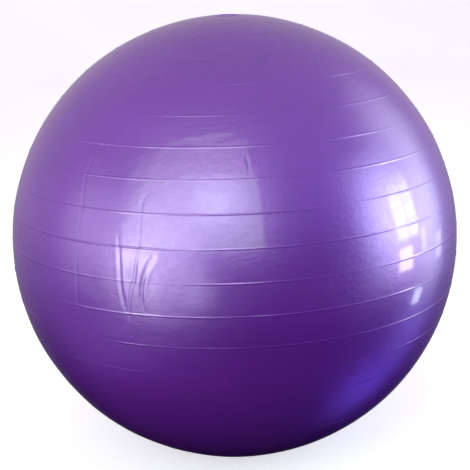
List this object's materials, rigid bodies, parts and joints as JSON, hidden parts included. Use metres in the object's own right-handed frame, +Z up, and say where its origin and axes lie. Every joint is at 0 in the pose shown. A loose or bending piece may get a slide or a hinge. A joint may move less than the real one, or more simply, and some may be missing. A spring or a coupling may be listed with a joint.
{
  "type": "exercise ball",
  "caption": "Large inflated PVC exercise ball with moulded grip ribs round it, a recessed air valve at the top and a pull-out valve plug.",
  "frame": {"origin": "on the floor, at the middle of the flat patch under the ball", "axes": "+Z up through the valve, the axis that the ribs run round; X and Y are level, and -Y faces the viewer"},
  "size_m": [0.65, 0.65, 0.6446],
  "materials": {
    "ball_pvc": "pearl gloss",
    "seat_pvc": "gloss",
    "plug_plastic": "satin"
  },
  "bodies": {
    "ball": {"ball_shell": "ball_pvc", "valve_seat": "seat_pvc"},
    "plug": {"valve_plug": "plug_plastic"}
  },
  "joints": [
    {"name": "plug_pull", "type": "slide", "parent": "ball", "child": "plug", "axis": [0, 0, 1], "range_m": [0, 0.04]}
  ]
}
